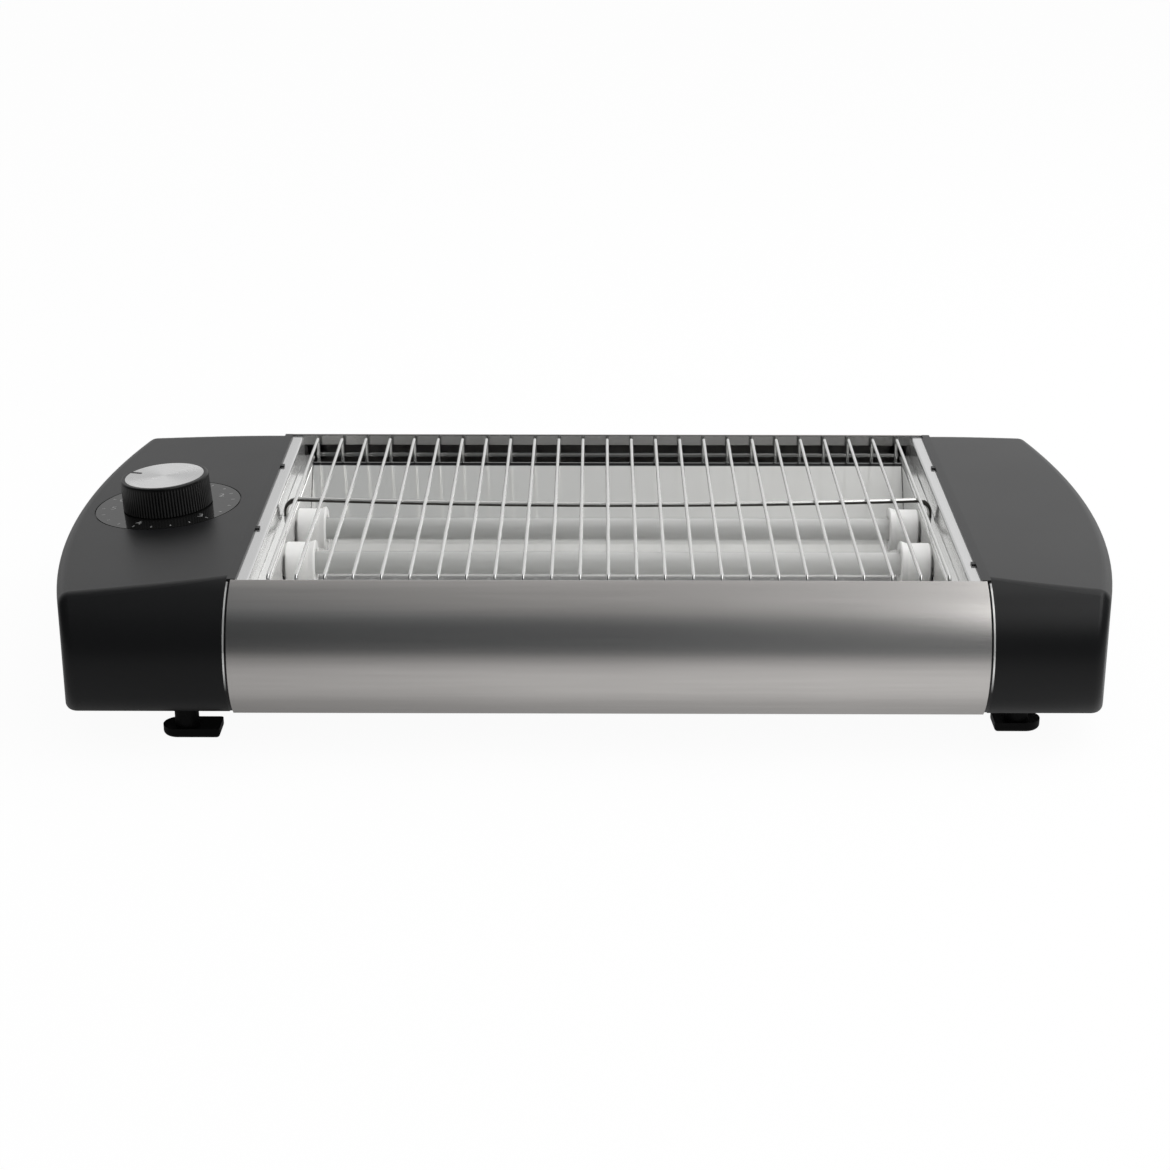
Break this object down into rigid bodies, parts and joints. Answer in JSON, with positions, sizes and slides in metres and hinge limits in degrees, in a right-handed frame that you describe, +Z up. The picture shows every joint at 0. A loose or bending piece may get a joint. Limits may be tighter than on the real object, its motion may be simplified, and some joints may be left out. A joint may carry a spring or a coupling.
{
  "type": "flat toaster",
  "caption": "Low flat toaster: two black end housings, brushed steel panels, wire grill over two quartz tubes, timer knob and a crumb tray that slides out behind.",
  "frame": {"origin": "on the surface it stands on, under the middle of its bounding box", "axes": "+X to the right along the length, seen from the front; +Y to the back; +Z up"},
  "size_m": [0.4256, 0.2268, 0.0767],
  "materials": {
    "black_plastic": "fine matt mould texture",
    "foot_plastic": "satin",
    "polished_steel": "bright pressed sheet",
    "brushed_steel": "long horizontal brushing",
    "zinc_sheet": "galvanised",
    "tray_sheet": "bright sheet",
    "chromed_wire": "bright plated wire",
    "quartz": "milky quartz",
    "heating_wire": "oxidised winding",
    "ceramic": "unglazed white",
    "plated_fixings": "zinc plated",
    "soft_black": "matt",
    "lead_sleeve": "silicone sleeve",
    "white_plastic": "moulded",
    "knob_plastic": "satin, fluted side",
    "spun_aluminium": "spun",
    "dial_gloss": "gloss"
  },
  "bodies": {
    "root": {"base_cover_screws": "plated_fixings", "bottom_plate": "zinc_sheet", "bottom_rivets": "plated_fixings", "cord_gland": "soft_black", "dial_plate": "dial_gloss", "foot_screws": "plated_fixings", "front_heating_coil": "heating_wire", "front_heating_tube": "quartz", "front_left_ceramic_cap": "ceramic", "front_left_foot": "foot_plastic", "front_panel": "brushed_steel", "front_reflector": "polished_steel", "front_right_ceramic_cap": "ceramic", "front_right_foot": "foot_plastic", "grill_cross_rod": "chromed_wire", "grill_wires": "chromed_wire", "heater_terminals": "plated_fixings", "housing_screws": "plated_fixings", "internal_leads": "lead_sleeve", "jumper_strip": "plated_fixings", "left_base_cover": "black_plastic", "left_housing": "black_plastic", "left_side_frame": "polished_steel", "rear_heating_coil": "heating_wire", "rear_heating_tube": "quartz", "rear_left_ceramic_cap": "ceramic", "rear_left_foot": "foot_plastic", "rear_panel": "brushed_steel", "rear_reflector": "polished_steel", "rear_right_ceramic_cap": "ceramic", "rear_right_foot": "foot_plastic", "right_base_cover": "black_plastic", "right_housing": "black_plastic", "right_side_frame": "polished_steel", "terminal_block": "white_plastic", "timer_case": "zinc_sheet", "timer_screws": "plated_fixings"},
    "crumb_tray": {"crumb_tray": "tray_sheet", "tray_handle": "brushed_steel"},
    "timer_knob": {"timer_knob": "knob_plastic", "knob_disc": "spun_aluminium", "timer_spindle": "plated_fixings"}
  },
  "joints": [
    {"name": "timer_turn", "type": "hinge", "parent": "root", "child": "timer_knob", "pos_m": [-0.17455, 0.0006, 0.06261], "axis": [0.0628, 0, -0.998], "range_deg": [0, 330]},
    {"name": "crumb_tray_slide", "type": "slide", "parent": "root", "child": "crumb_tray", "axis": [0, 1, 0], "range_m": [0, 0.17]}
  ]
}
